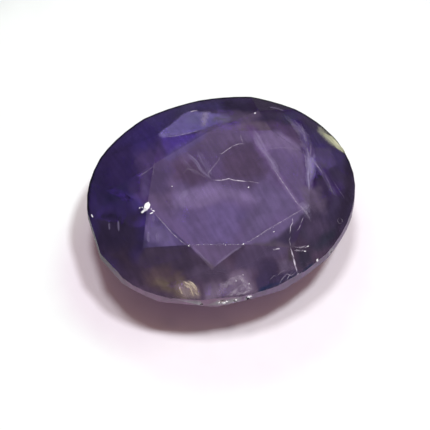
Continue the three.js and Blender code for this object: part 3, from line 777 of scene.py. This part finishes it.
# threads and veils: thin closed strips lying in the skin; each path is its width in mm, how strongly
# it shows, and its places in mm seen from above
# "high" is a strip's thickness against its width, and "least" its least thickness in mm, "shake" how far
# it strays from its path, "fine", "long" and "weakest" its streaks, and "firm" how sharp its edge is
strips = {
    # cracks and scratches, and some painted glints and reflection lines
    "cracksAndGlints": {
        "high": 0.3, "least": 0.004, "shake": 0.014, "fine": 1.2, "long": 6.0, "weakest": 0.15, "firm": 1.0,
        "tints": ((0.62, 0.5, 0.74), (0.92, 0.84, 0.96)),
        "paths": {
            "mainCrack": (0.055, 0.85, (
                (-0.31, 0.29), (0.03, 0.21), (0.33, 0.22), (0.44, 0.15), (0.7, 0.06), (1.02, -0.03),
            )),
            "mainCrackTail": (0.03, 0.3, ((0.95, -0.01), (1.2, -0.09), (1.41, -0.18))),
            "crackUp": (0.035, 0.3, (
                (-0.31, 0.29), (-0.4, 0.56), (-0.22, 0.74), (0.1, 1.04), (0.18, 1.23),
            )),
            "fineCrack": (0.035, 0.6, (
                (0.1, 1.31), (0.24, 1.27), (0.44, 1.36), (0.7, 1.49), (0.95, 1.54), (1.22, 1.49),
            )),
            "fineCrackUp": (0.03, 0.3, ((1.09, 1.93), (1.08, 1.72), (1.1, 1.53))),
            "brownArch": (0.035, 0.16, (
                (-1.32, 0.74), (-1.11, 0.91), (-0.85, 0.78), (-0.61, 0.53), (-0.41, 0.31),
            )),
            "rightEdge": (0.04, 0.5, ((3.53, 0.39), (3.65, 0.12), (3.79, -0.18))),
            # lensEdge and lensGlint are no cracks: the painted edge line and painted highlight of the
            # lens-shaped reflection
            "lensEdge": (0.035, 0.34, ((-1.78, 2.43), (-1.37, 2.38), (-0.73, 2.36), (-0.11, 2.46))),
            "lensGlint": (0.07, 0.75, ((-0.56, 3.48), (-0.41, 3.51), (-0.22, 3.49))),
            # edgeLeft, edgeFront and edgeRight: worn table edges, with the painted glint of light along them
            "edgeLeft": (0.045, 0.32, (
                (-2.65, -0.59), (-2.41, -1.04), (-2.17, -1.49), (-1.92, -1.88), (-1.67, -2.17),
            )),
            "edgeFront": (0.035, 0.08, ((-1.59, -2.11), (-0.94, -2.22), (-0.33, -2.34), (0.32, -2.46))),
            "lowCrack": (0.045, 0.7, ((2.3, -1.76), (2.28, -1.94), (2.18, -2.06), (2.09, -2.31))),
            "lowCrackEnd": (0.03, 0.3, ((2.11, -2.38), (2.03, -2.52), (2.06, -2.77))),
            "brightCrack": (0.07, 1.0, ((2.03, -2.77), (2.08, -3.11), (2.12, -3.42), (2.16, -3.61))),
            "branch": (0.035, 0.35, ((2.35, -2.28), (2.47, -2.16), (2.73, -1.75))),
            "cornerLine": (0.035, 0.35, ((2.84, -1.53), (2.95, -1.87))),
            "chunkBand": (0.1, 0.42, ((2.17, -2.78), (2.43, -2.79), (2.74, -2.75))),
            "chunkBandLow": (0.09, 0.42, ((2.14, -2.9), (2.37, -2.89), (2.6, -2.9))),
            "archFaint": (0.06, 0.07, (
                (1.86, 1.15), (2.23, 1.12), (2.6, 1.07), (2.95, 0.94), (3.24, 0.87),
            )),
            "archDown": (0.06, 0.18, ((3.24, 0.87), (3.24, 0.51), (3.19, 0.1))),
            "diagonal": (0.05, 0.34, (
                (2.02, 0.3), (2.24, -0.33), (2.44, -0.86), (2.64, -1.33), (2.78, -1.56), (2.89, -1.79),
                (2.98, -1.98),
            )),
            # worn table edge, with the painted glint of light along it
            "edgeRight": (0.04, 0.32, (
                (0.3, -2.48), (0.55, -2.41), (1.21, -2.11), (1.87, -1.85), (2.42, -1.63), (2.72, -1.5),
                (3.05, -1.36),
            )),
            "leftScratch": (0.05, 0.2, ((-2.96, 0.98), (-2.67, 1.1), (-2.46, 1.18), (-2.31, 1.27))),
            "leftScratchUp": (0.04, 0.12, ((-2.26, 1.44), (-2.34, 1.14), (-2.42, 0.87))),
            "ring": (0.035, 0.2, (
                (4.06, -1.8), (3.98, -1.9), (4.03, -2.0), (4.13, -2.0), (4.17, -1.88), (4.08, -1.8),
            )),
            "chunkStreak": (0.07, 0.6, ((1.36, -2.78), (1.49, -2.76), (1.66, -2.78))),
            "scratchA": (0.035, 0.28, ((1.37, -3.59), (1.54, -3.49), (1.7, -3.44))),
            "scratchB": (0.045, 0.42, (
                (1.4, -3.84), (1.58, -3.67), (1.75, -3.57), (1.89, -3.64), (2.1, -3.54),
            )),
            "scratchC": (0.035, 0.38, ((1.68, -3.78), (1.82, -3.63), (1.99, -3.5))),
            "scratchD": (0.03, 0.26, ((1.09, -3.69), (1.26, -3.58), (1.37, -3.62))),
            "scratchE": (0.05, 0.4, ((2.08, -3.64), (2.24, -3.57))),
            "wispA": (0.08, 0.07, ((2.87, 2.77), (2.96, 2.45), (3.1, 2.19), (3.23, 1.72), (3.35, 1.41))),
            "wispB": (0.08, 0.15, ((3.23, 2.46), (3.32, 2.14), (3.41, 1.88), (3.44, 1.46), (3.43, 1.06))),
            "wispC": (0.07, 0.12, ((3.43, 2.3), (3.46, 1.93), (3.49, 1.51), (3.48, 1.11))),
            "wispD": (0.07, 0.2, ((3.39, 1.06), (3.41, 0.77), (3.39, 0.49))),
            "wispE": (0.06, 0.2, ((3.61, 1.2), (3.54, 0.87), (3.44, 0.58))),
            "wispF": (0.06, 0.14, ((3.52, 0.41), (3.66, 0.16), (3.8, -0.25))),
            "wispG": (0.055, 0.1, ((3.84, -0.07), (3.93, -0.58), (4.01, -1.1))),
            "wispH": (0.07, 0.08, ((4.11, -0.43), (4.26, -0.8), (4.42, -1.15))),
            "wispI": (0.06, 0.14, ((3.26, 0.42), (3.21, -0.19), (3.16, -0.79))),
            "wispJ": (0.06, 0.1, ((3.44, 0.4), (3.26, -0.32), (3.11, -0.87))),
        },
    },
    "veils": {
        "high": 0.03, "least": 0.004, "shake": 0.04, "fine": 2.2, "long": 1.1, "weakest": 0.25, "firm": 1.0,
        "tints": ((0.38, 0.31, 0.56), (0.58, 0.51, 0.8)),
        "paths": {
            "leftVeilA": (0.16, 0.24, ((-1.0, 1.58), (-0.78, 1.13), (-0.54, 0.62), (-0.34, 0.3))),
            "leftVeilB": (0.26, 0.13, ((-0.63, 1.55), (-0.43, 1.02), (-0.27, 0.45))),
            "leftVeilC": (0.2, 0.08, ((-1.26, 1.38), (-1.01, 0.92), (-0.71, 0.53))),
            "rightVeil": (0.34, 0.3, ((3.36, 0.7), (3.38, 0.3), (3.3, -0.2), (3.14, -0.85))),
            "wispVeilB": (0.3, 0.1, ((3.5, 0.45), (3.78, -0.1), (4.0, -0.75), (4.1, -1.1))),
            "crownStreakA": (0.09, 0.26, ((-4.3, -0.38), (-4.35, -0.66))),
            "crownStreakB": (0.1, 0.3, ((-3.96, -0.44), (-4.02, -0.85))),
            "starStreakA": (0.12, 0.2, ((-3.01, -1.21), (-3.04, -1.66))),
            "starStreakB": (0.18, 0.16, ((-2.69, -1.35), (-2.72, -1.75))),
            "starStreakC": (0.1, 0.25, ((-2.71, -0.63), (-2.74, -0.97))),
            "tableVeil": (0.24, 0.14, ((-1.62, -0.7), (-1.5, -0.2), (-1.25, 0.1))),
        },
    },
    "haze": {
        "high": 0.03, "least": 0.004, "shake": 0.02, "fine": 1.3, "long": 1.2, "weakest": 0.55, "firm": 1.0,
        "tints": ((0.44, 0.36, 0.62), (0.6, 0.52, 0.8)),
        "paths": {
            "diagonalTop": (0.32, 0.25, (
                (1.57, 2.08), (1.69, 1.42), (1.85, 0.99), (2.0, 0.6), (2.16, 0.0),
            )),
            "diagonalLow": (0.2, 0.15, ((1.95, 0.72), (2.16, -0.1), (2.41, -0.77), (2.75, -1.5))),
            "wispWide": (0.5, 0.22, (
                (3.0, 2.62), (3.25, 2.1), (3.42, 1.6), (3.45, 0.77), (3.4, 0.2), (3.24, -0.6),
            )),
            "cornerAcross": (0.5, 0.13, ((2.56, -1.34), (2.8, -1.46), (3.07, -1.46))),
            "cornerDown": (0.3, 0.12, ((2.75, -1.2), (2.85, -1.62), (2.95, -1.9))),
            "tipLeft": (0.09, 0.09, ((-1.55, -2.18), (-1.32, -2.45), (-1.08, -2.78), (-0.96, -3.0))),
            "tipRight": (0.1, 0.12, ((-0.87, -3.0), (-0.46, -2.81), (-0.05, -2.63), (0.34, -2.52))),
            "topWisp": (0.16, 0.2, ((2.4, 3.13), (2.66, 3.05), (2.95, 2.88))),
        },
    },
    "frontVeils": {
        "high": 0.03, "least": 0.004, "shake": 0.06, "fine": 1.8, "long": 4.5, "weakest": 0.1, "firm": 1.0,
        "tints": ((0.44, 0.36, 0.52), (0.8, 0.72, 0.84)),
        "paths": {
            "veilA": (0.2, 0.32, ((-0.75, -3.72), (-0.3, -3.54), (0.12, -3.48))),
            "veilB": (0.24, 0.3, ((-0.6, -3.93), (-0.13, -3.81), (0.3, -3.72))),
            "veilC": (0.16, 0.34, ((-0.25, -3.97), (0.05, -3.96), (0.4, -3.88))),
            "veilD": (0.26, 0.28, ((-0.05, -3.43), (0.19, -3.7), (0.38, -3.92))),
            "veilE": (0.16, 0.2, ((-0.87, -3.61), (-0.53, -3.57), (-0.17, -3.65))),
        },
    },
    "oliveStreaks": {
        "high": 0.03, "least": 0.003, "shake": 0.03, "fine": 1.8, "long": 3.0, "weakest": 0.25, "firm": 1.6,
        "tints": ((0.55, 0.42, 0.32), (1.0, 0.86, 0.66)),
        "paths": {
            "oliveStreakA": (0.2, 0.55, ((-2.07, -3.22), (-1.85, -3.47), (-1.76, -3.77))),
            "oliveStreakB": (0.16, 0.6, ((-1.89, -3.25), (-1.67, -3.48), (-1.6, -3.77))),
            "oliveStreakC": (0.12, 0.35, ((-2.22, -3.33), (-2.15, -3.6))),
        },
    },
    # painted light coming through the back right rim
    "rimWindow": {
        "high": 0.03, "least": 0.003, "shake": 0.01, "fine": 1.0, "long": 2.0, "weakest": 0.75, "firm": 3.0,
        "tints": ((0.5, 0.52, 0.32), (0.74, 0.72, 0.52)),
        "paths": {
            "windowUpper": (0.2, 0.75, ((4.16, 1.82), (4.34, 1.58), (4.56, 1.24), (4.74, 0.92))),
            "windowLower": (0.22, 0.85, ((4.34, 1.72), (4.54, 1.44), (4.74, 1.1), (4.86, 0.86))),
        },
    },
}


# what all strips share
stripShape = {
    "step": 0.05,          # mm between two rings
    "bend": 3,             # waves along a path, per mm
    "swell": 0.35,         # how much the width comes and goes
    "swellStep": 0.7,
    "apart": 7.3,          # shifts the streaks of each strip against the last one's
    "thinEnd": (0.25, 4),  # share of the width at the very end, and how fast it grows
    "faintEnd": (0.15, 5),
    "roughness": 0.5,
    "ring": ((-1, 0), (-0.5, 1), (0.5, 1), (1, 0), (0.5, -1), (-0.5, -1)),
}
overStone = 0.02  # m: rays start at this height


# the place on the crown under a point seen from above; a ray that misses is sent again further in
def onSkin(x, y):
    for share in (1.0, 0.998, 0.99, 0.97, 0.9):
        top = Vector((x * share * mm, y * share * mm, overStone))
        place, normal, _, _ = skin.ray_cast(top, Vector((0, 0, -1)))
        if place is not None:
            return place / mm, normal
    raise ValueError(f"no skin under {x}, {y}")


def alongPath(path, step):
    places = [Vector(path[0])]
    for start, end in zip(path, path[1:]):
        start, end = Vector(start), Vector(end)
        parts = max(2, round((end - start).length / step))
        places += [start.lerp(end, i / parts) for i in range(1, parts + 1)]
    return places


def fromEnds(share, start, grow):
    return min(1, start + grow * share, start + grow * (1 - share))


# one closed strip with six points round it, thin at both ends
def addStrip(mesh, marks, s, path, number):
    width, light, corners = path
    places = alongPath(corners, stripShape["step"])
    for i, place in enumerate(places[1:-1], 1):
        shift = noise.noise_vector(Vector((*(place * stripShape["bend"]), number)))
        places[i] = place + Vector((shift.x, shift.y)) * s["shake"]
    rings = []
    for i, place in enumerate(places):
        centre, normal = onSkin(place.x, place.y)
        way = places[min(i + 1, len(places) - 1)] - places[max(i - 1, 0)]
        side = Vector((way.x, way.y, 0)).cross(normal).normalized()
        share = i / (len(places) - 1)
        swell = 1 + stripShape["swell"] * noise.noise(Vector((i * stripShape["swellStep"], number, 0)))
        wide = width / 2 * fromEnds(share, *stripShape["thinEnd"]) * swell
        high = max(s["least"], wide * s["high"])
        ring = []
        for across, up in stripShape["ring"]:
            vert = mesh.verts.new((centre + side * across * wide + normal * up * high) * mm)
            vert[marks["across"]] = across
            vert[marks["along"]] = share * stripShape["step"] * len(places) + number * stripShape["apart"]
            vert[marks["light"]] = light * fromEnds(share, *stripShape["faintEnd"])
            ring.append(vert)
        rings.append(ring)
    for a, b in zip(rings, rings[1:]):
        for i in range(len(a)):
            after = (i + 1) % len(a)
            mesh.faces.new((a[i], a[after], b[after], b[i]))
    mesh.faces.new(rings[0][::-1])
    mesh.faces.new(rings[-1])


def stripMaterial(name, s):
    material, tree, shader = newMaterial(name)
    across, along = attribute(tree, "across"), attribute(tree, "along")
    streak = streaks(tree, across, along, s["fine"], s["long"])
    edge = calc(tree, "SUBTRACT", 1.0, calc(tree, "MULTIPLY", across, across))
    edge = calc(tree, "MINIMUM", calc(tree, "MULTIPLY", edge, s["firm"]), 1.0)
    share = calc(tree, "MULTIPLY", edge, remap(tree, streak, 0.0, 1.0, s["weakest"], 1.0))
    feed(tree, shader.inputs["Alpha"], calc(tree, "MULTIPLY", share, attribute(tree, "light")))
    feed(tree, shader.inputs["Base Color"], mixColours(tree, streak, *s["tints"]))
    shader.inputs["Roughness"].default_value = stripShape["roughness"]
    return material


def finishPiece(name, mesh, material):
    bmesh.ops.recalc_face_normals(mesh, faces=mesh.faces)
    data = bpy.data.meshes.new(name)
    mesh.to_mesh(data)
    mesh.free()
    data.materials.append(material)
    piece = bpy.data.objects.new(name, data)
    bpy.context.scene.collection.objects.link(piece)
    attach(piece, "root")
    print(name, "ready", len(data.polygons))


def makeStrips(name, s):
    mesh = bmesh.new()
    marks = {mark: mesh.verts.layers.float.new(mark) for mark in ("across", "along", "light")}
    for number, path in enumerate(s["paths"].values()):
        addStrip(mesh, marks, s, path, number)
    finishPiece(name, mesh, stripMaterial(name, s))


for name, s in strips.items():
    makeStrips(name, s)


# chips and sparkles: small bright broken corners and grains, some of them painted sparkles of light;
# each grain is its place, seen from above or in space, its size in mm, its turn in degrees and, where it
# stands out further, how thick it is against its width
chipsAndSparkles = {
    "tints": ((0.8, 0.76, 0.84), (1.0, 0.99, 1.0)), "cloudScale": 9.0,
    "cloudRange": (0.35, 0.6), "roughness": 0.25,
    "jag": 0.45, "jagScale": 2, "apart": 5,  # how ragged a grain is, and how finely
    "flat": 0.5,  # how thick a grain is against its width
    "grains": {
        # the corner's grains: a broken corner, with the painted sparkle of light on it
        "cornerChipSparkle": ((-2.84, -0.28), (0.26, 0.26), 60),
        "cornerChipMid": ((-2.92, -0.38), (0.24, 0.2), 35),
        "cornerChipLow": ((-3.03, -0.45), (0.2, 0.11), 25),
        "cornerBitA": ((-3.12, -0.26), (0.07, 0.05), 40),
        "cornerBitB": ((-3.03, -0.28), (0.06, 0.05), -30),
        "cornerBitC": ((-2.74, -0.6), (0.14, 0.05), 10),
        "cornerBitD": ((-2.67, -0.52), (0.13, 0.04), -25),
        "cornerBitE": ((-2.72, -0.44), (0.06, 0.04), -40),
        # painted sparkles at the ends of the worn table edges
        "edgeEndLeft": ((-1.65, -2.14), (0.07, 0.03), -40),
        "edgeEndRight": ((0.33, -2.46), (0.09, 0.05), 30),
        "nickFlakeE": ((0.2, -3.99, 3.38), (0.16, 0.11), 0, 0.6),
        "rimFlake": ((0.26, -4.03, 3.53), (0.28, 0.14), 10, 1.1),
        "nickFlakeF": ((-1.6, -3.85, 3.34), (0.06, 0.05), 0, 0.8),
        "nickFlakeG": ((0.2, -4.03, 3.43), (0.13, 0.11), 0, 1.3),
        "nickFlakeH": ((-0.84, -4.0, 3.34), (0.12, 0.09), 0, 1.3),
        "nickFlakeA": ((-0.74, -4.03, 3.3), (0.26, 0.12), 0, 0.6),
        "nickFlakeB": ((-0.6, -4.04, 3.38), (0.12, 0.08), 0, 1.0),
        "nickFlakeC": ((-0.26, -4.03, 3.42), (0.12, 0.09), 0, 1.1),
        "wedgeGrain": ((1.53, -2.17), (0.06, 0.03), 20),
        "nickFlakeD": ((3.59, -2.76, 3.33), (0.1, 0.07), 30),
        "chunkA": ((2.56, -2.91), (0.1, 0.05), -15),
        "chunkB": ((2.69, -2.76), (0.11, 0.05), 10),
        "leftGrain": ((-1.8, 0.32), (0.035, 0.03), 0),
        "veilSpeckA": ((-0.16, -3.57), (0.05, 0.04), 0),
        "veilSpeckB": ((0.13, -3.42), (0.04, 0.03), 0),
        "veilSpeckC": ((0.3, -3.72), (0.05, 0.04), 40),
        "rimSpark": ((-4.85, 0.13), (0.05, 0.15), 8),
        "lowGrain": ((2.97, -3.18), (0.08, 0.12), -20),
        "topGrain": ((1.81, 2.79), (0.09, 0.07), 0),
        "crackGrain": ((0.96, -0.26), (0.07, 0.06), 0),
    },
}


def addGrain(mesh, s, grain, number):
    place, size, turn = grain[:3]
    thick = grain[3] if len(grain) > 3 else s["flat"]
    if len(place) == 3:
        centre, normal, _, _ = skin.find_nearest(Vector(place) * mm)
        centre = centre / mm
    else:
        centre, normal = onSkin(*place)
    turn = math.radians(turn)
    side = Vector((math.cos(turn), math.sin(turn), 0)).cross(normal).normalized()
    way = normal.cross(side)
    made = bmesh.ops.create_icosphere(mesh, subdivisions=1, radius=1.0)["verts"]
    for vert in made:
        shift = noise.noise_vector(vert.co * s["jagScale"] + Vector((number * s["apart"], 0, 0))) * s["jag"]
        x, y, z = vert.co + shift
        long, wide = size[0] / 2, size[1] / 2
        rise = normal * z * wide * thick
        vert.co = (centre + way * x * long + side * y * wide + rise) * mm


def makeChipsAndSparkles(s):
    mesh = bmesh.new()
    for number, grain in enumerate(s["grains"].values()):
        addGrain(mesh, s, grain, number)
    material, tree, shader = newMaterial("brokenCrystalAndSparkle")
    inputs = {"Vector": placeInMm(tree), "Scale": s["cloudScale"]}
    cloud = addNode(tree, "ShaderNodeTexNoise", inputs).outputs["Fac"]
    tint = mixColours(tree, remap(tree, cloud, *s["cloudRange"]), *s["tints"])
    feed(tree, shader.inputs["Base Color"], tint)
    shader.inputs["Roughness"].default_value = s["roughness"]
    finishPiece("chipsAndSparkles", mesh, material)


makeChipsAndSparkles(chipsAndSparkles)
